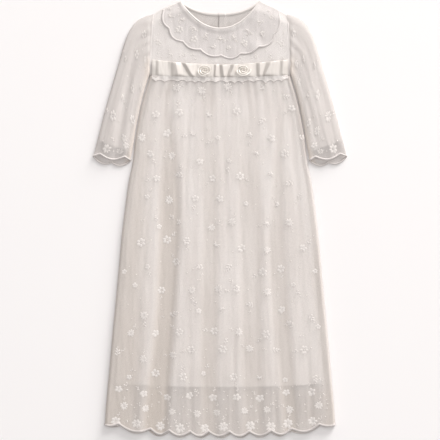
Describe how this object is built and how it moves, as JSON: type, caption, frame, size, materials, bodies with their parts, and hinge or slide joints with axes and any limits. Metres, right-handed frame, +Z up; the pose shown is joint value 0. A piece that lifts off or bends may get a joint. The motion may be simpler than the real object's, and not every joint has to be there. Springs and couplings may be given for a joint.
{
  "type": "lace dress",
  "caption": "Child's long gathered lace dress with a scalloped collar, ribbon waist and lined skirt, laid flat on its back.",
  "frame": {"origin": "on the surface the dress lies on, under the middle of its outline", "axes": "+Y from the hem towards the neck, +Z up from the back of the dress to its front, +X towards the wearer's left"},
  "size_m": [0.4054, 0.7019, 0.0145],
  "materials": {
    "lace": "sheer net lace with raised embroidery",
    "lining": "plain smooth lining with a soft sheen",
    "satin": "satin ribbon",
    "button": "pearly"
  },
  "bodies": {
    "root": {"yoke_front": "lace", "yoke_back_left": "lace", "yoke_back_right": "lace", "collar_front": "lace", "collar_back_left": "lace", "collar_back_right": "lace", "sleeve_left": "lace", "sleeve_right": "lace", "sleeve_lining_left": "lining", "sleeve_lining_right": "lining", "skirt_front": "lace", "skirt_back": "lace", "lining_front": "lining", "lining_back": "lining", "ribbon": "satin", "rose_left": "satin", "rose_right": "satin", "frill": "lace", "button_1": "button", "button_2": "button", "button_3": "button"}
  },
  "joints": []
}
